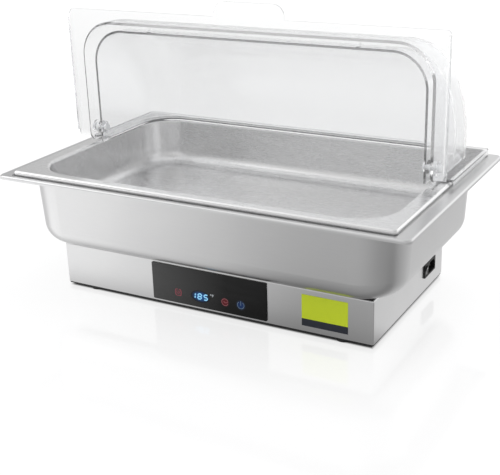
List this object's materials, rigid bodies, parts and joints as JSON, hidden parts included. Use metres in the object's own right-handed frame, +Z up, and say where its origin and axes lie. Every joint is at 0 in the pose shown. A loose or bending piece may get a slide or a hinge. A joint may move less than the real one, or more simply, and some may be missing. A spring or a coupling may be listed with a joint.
{
  "type": "electric chafing dish",
  "caption": "Rectangular countertop food warmer: heated stainless base with a glass control panel, water pan, food pan and a clear roll-top cover that turns open.",
  "frame": {"origin": "on the floor under the centre of the dish", "axes": "+X along the long side to the right, -Y towards the control panel in front, +Z up"},
  "size_m": [0.568, 0.343, 0.376],
  "materials": {
    "satin_stainless": "satin, drawn, brushed along the sides",
    "pan_stainless": "satin with a brighter rim",
    "base_stainless": "fine horizontal brushing",
    "black_steel": "black powder coat",
    "foot_rubber": "matt",
    "fastener_steel": "zinc plated",
    "cast_aluminium": "cast and machined",
    "element_sheath": "heat-tinted sheath",
    "fibre_pad": "ceramic fibre felt",
    "zinc_steel": "zinc-coated sheet",
    "black_plastic": "fine texture",
    "black_glass": "polished, printed black behind",
    "circuit_board": "solder mask",
    "spring_steel": "plain",
    "lime_sticker": "printed vinyl",
    "nickel_brass": "nickel-plated",
    "rocker_plastic": "gloss",
    "nylon_post": "natural nylon",
    "transformer_iron": "varnished core",
    "relay_case": "moulded",
    "capacitor_sleeve": "shrink sleeve",
    "terminal_plastic": "moulded",
    "lead_cover": "silicone cover",
    "earth_cover": "silicone cover",
    "ribbon_plastic": "flat cable",
    "clear_polycarbonate": "clear, moulded",
    "pin_nylon": "moulded white nylon"
  },
  "bodies": {
    "base": {"base_housing": "base_stainless", "base_bottom_plate": "black_steel", "feet": "foot_rubber", "foot_screws": "fastener_steel", "foot_nuts": "fastener_steel", "bottom_screws": "fastener_steel", "heater_plate": "cast_aluminium", "heating_element": "element_sheath", "element_clamp": "fastener_steel", "insulation_pad": "fibre_pad", "clamp_nuts": "fastener_steel", "heater_tray": "zinc_steel", "tray_nuts": "fastener_steel", "thermal_cutout": "black_plastic", "temperature_probe": "element_sheath", "probe_grommet": "foot_rubber", "control_glass": "black_glass", "display_board": "circuit_board", "display_screws": "fastener_steel", "display_module": "black_plastic", "key_springs": "spring_steel", "label_plate": "lime_sticker", "inlet_socket": "black_plastic", "inlet_pins": "nickel_brass", "switch_frame": "black_plastic", "switch_tabs": "nickel_brass", "power_board": "circuit_board", "power_board_posts": "nylon_post", "power_board_screws": "fastener_steel", "transformer": "transformer_iron", "relay": "relay_case", "capacitors": "capacitor_sleeve", "terminal_block": "terminal_plastic", "mains_leads": "lead_cover", "heater_leads": "lead_cover", "earth_lead": "earth_cover", "probe_lead": "lead_cover", "display_cable": "ribbon_plastic", "cable_headers": "nylon_post", "earth_screw": "nickel_brass"},
    "water_pan": {"water_pan": "satin_stainless"},
    "food_pan": {"food_pan": "pan_stainless"},
    "rear_cover": {"rear_cover": "clear_polycarbonate", "hinge_pins": "pin_nylon", "hinge_washers": "nylon_post"},
    "front_cover": {"front_cover": "clear_polycarbonate"},
    "switch_rocker": {"switch_rocker": "rocker_plastic"}
  },
  "joints": [
    {"name": "water_pan_lift", "type": "slide", "parent": "base", "child": "water_pan", "axis": [0, 0, 1], "range_m": [0, 0.12]},
    {"name": "food_pan_lift", "type": "slide", "parent": "water_pan", "child": "food_pan", "axis": [0, 0, 1], "range_m": [0, 0.12]},
    {"name": "cover_lift", "type": "slide", "parent": "food_pan", "child": "rear_cover", "axis": [0, 0, 1], "range_m": [0, 0.08]},
    {"name": "cover_turn", "type": "hinge", "parent": "rear_cover", "child": "front_cover", "pos_m": [0, 0.0055, 0.1895], "axis": [1, 0, 0], "range_deg": [0, 90]},
    {"name": "power_switch", "type": "hinge", "parent": "base", "child": "switch_rocker", "pos_m": [0.2223, 0.05315, 0.0335], "axis": [0, -1, 0], "range_deg": [0, 20]}
  ]
}
